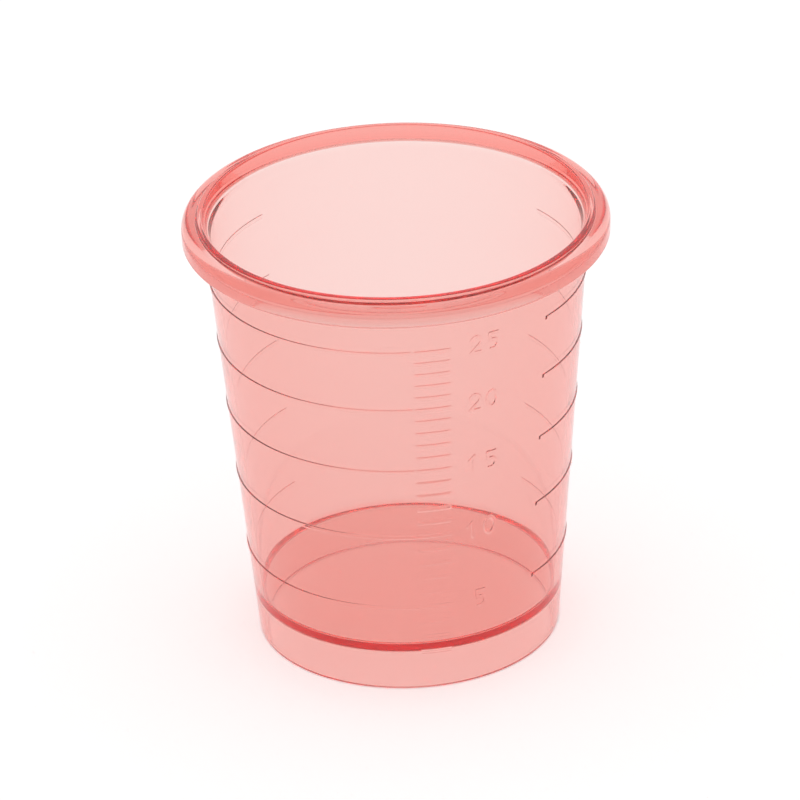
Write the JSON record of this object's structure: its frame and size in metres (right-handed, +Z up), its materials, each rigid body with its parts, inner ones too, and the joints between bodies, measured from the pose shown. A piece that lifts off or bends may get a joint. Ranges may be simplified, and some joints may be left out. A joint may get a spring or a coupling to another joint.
{
  "type": "medicine cup",
  "caption": "Small see-through medicine cup with a thick rim, a tapered wall, raised graduation lines and a raised floor inside a foot ring.",
  "frame": {"origin": "centre of the foot ring, on the plane that the cup stands on", "axes": "+Z up along the cup's axis; -Y is the front, where the column of short marks begins; +X to the right of the front"},
  "size_m": [0.039, 0.039, 0.0422],
  "materials": {
    "clear_pink_plastic": "smooth moulded clear plastic with a light coral pink tint"
  },
  "bodies": {
    "root": {"cup": "clear_pink_plastic"}
  },
  "joints": []
}
